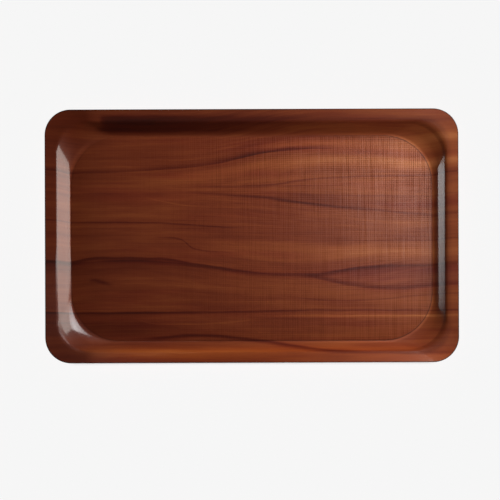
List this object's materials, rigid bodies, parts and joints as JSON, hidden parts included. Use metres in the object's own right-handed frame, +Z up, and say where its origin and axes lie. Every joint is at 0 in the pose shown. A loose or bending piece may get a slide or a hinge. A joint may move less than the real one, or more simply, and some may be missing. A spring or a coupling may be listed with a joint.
{
  "type": "serving tray",
  "caption": "Rectangular moulded-veneer serving tray with rounded corners, a sloping flange, a coved well and a woven-textured non-slip floor.",
  "frame": {"origin": "middle of the flat underside, on the surface that the tray stands on", "axes": "+X along the long side, +Y along the short side, +Z up out of the open well"},
  "size_m": [0.53, 0.325, 0.0205],
  "materials": {
    "woven_film": "satin",
    "face_veneer": "gloss",
    "back_veneer": "satin",
    "core_along": "satin",
    "core_across": "satin"
  },
  "bodies": {
    "root": {"nonslip_well_film": "woven_film", "top_face_veneer": "face_veneer", "core_ply_1": "core_across", "core_ply_2": "core_along", "core_ply_3": "core_across", "core_ply_4": "core_along", "core_ply_5": "core_across", "bottom_face_veneer": "back_veneer"}
  },
  "joints": []
}
